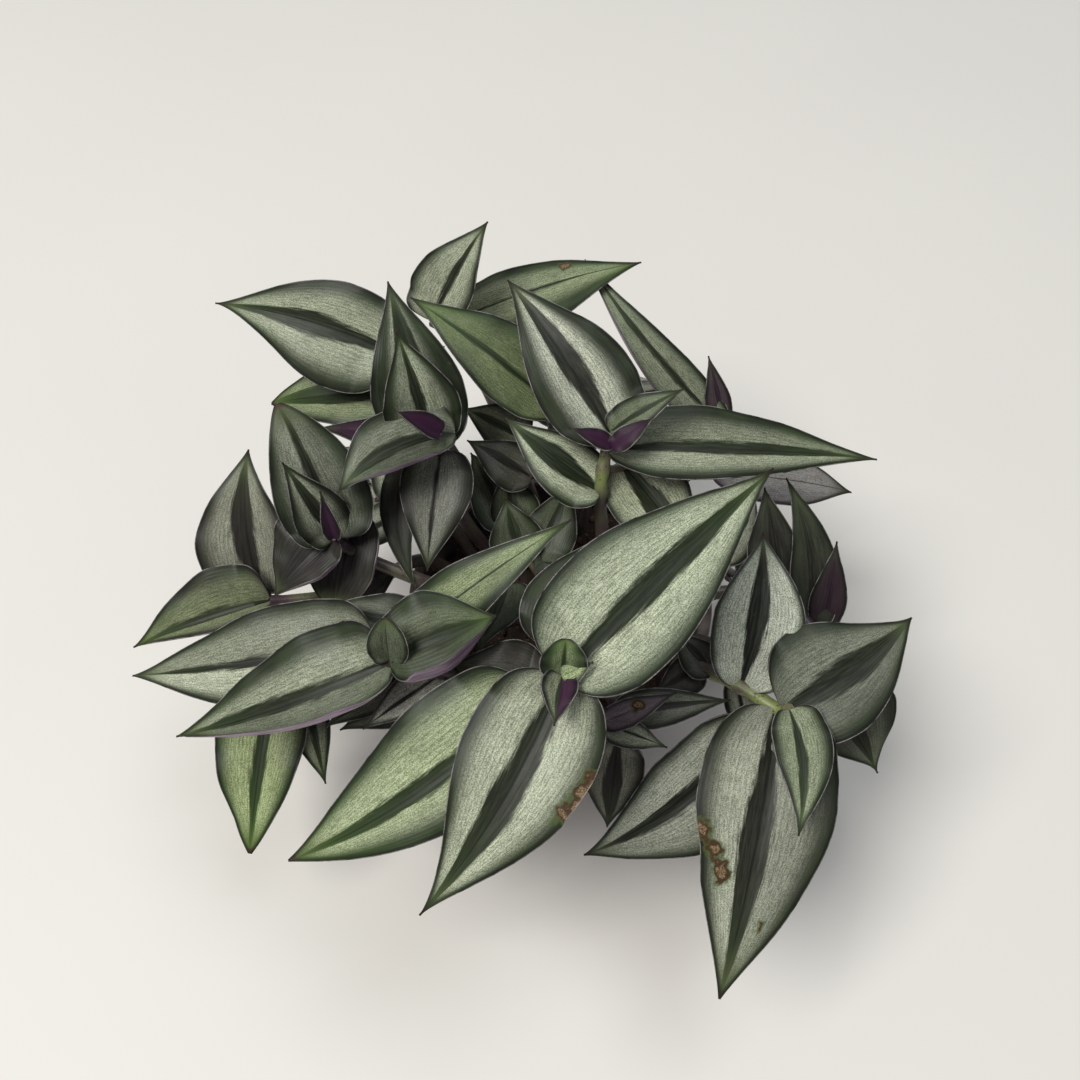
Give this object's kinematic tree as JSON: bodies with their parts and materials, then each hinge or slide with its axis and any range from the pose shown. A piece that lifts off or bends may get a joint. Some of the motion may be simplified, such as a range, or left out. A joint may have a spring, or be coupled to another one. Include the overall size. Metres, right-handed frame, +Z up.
{
  "type": "potted silver inch plant",
  "caption": "Trailing house plant with silver-striped pointed leaves on jointed stems, rooted in potting mix in a plain tapered nursery pot.",
  "frame": {"origin": "centre of the pot's underside, on the plane that it stands on", "axes": "+Z up along the pot's axis, the pictured side of the plant faces -Y"},
  "size_m": [0.2229, 0.217, 0.1504],
  "materials": {
    "pot": "plain taupe moulded plastic, slightly satin",
    "soil": "dark, crumbly peat and bark potting mix",
    "foliage": "succulent leaf, dark green with two silver stripes, violet beneath"
  },
  "bodies": {
    "root": {"pot": "pot", "soil": "soil", "shoot_front": "foliage", "shoot_right_front": "foliage", "shoot_right": "foliage", "shoot_left_back": "foliage", "shoot_left": "foliage", "shoot_far_left": "foliage", "shoot_left_front": "foliage", "shoot_left_low": "foliage", "shoot_middle": "foliage", "shoot_inner": "foliage", "shoot_core": "foliage", "shoot_back_left": "foliage", "shoot_back": "foliage", "shoot_far_back": "foliage", "shoot_back_right": "foliage", "shoot_right_low": "foliage", "spray_rear": "foliage", "spray_rear_left": "foliage", "spray_rear_right": "foliage", "spray_front": "foliage", "spray_right": "foliage"}
  },
  "joints": []
}
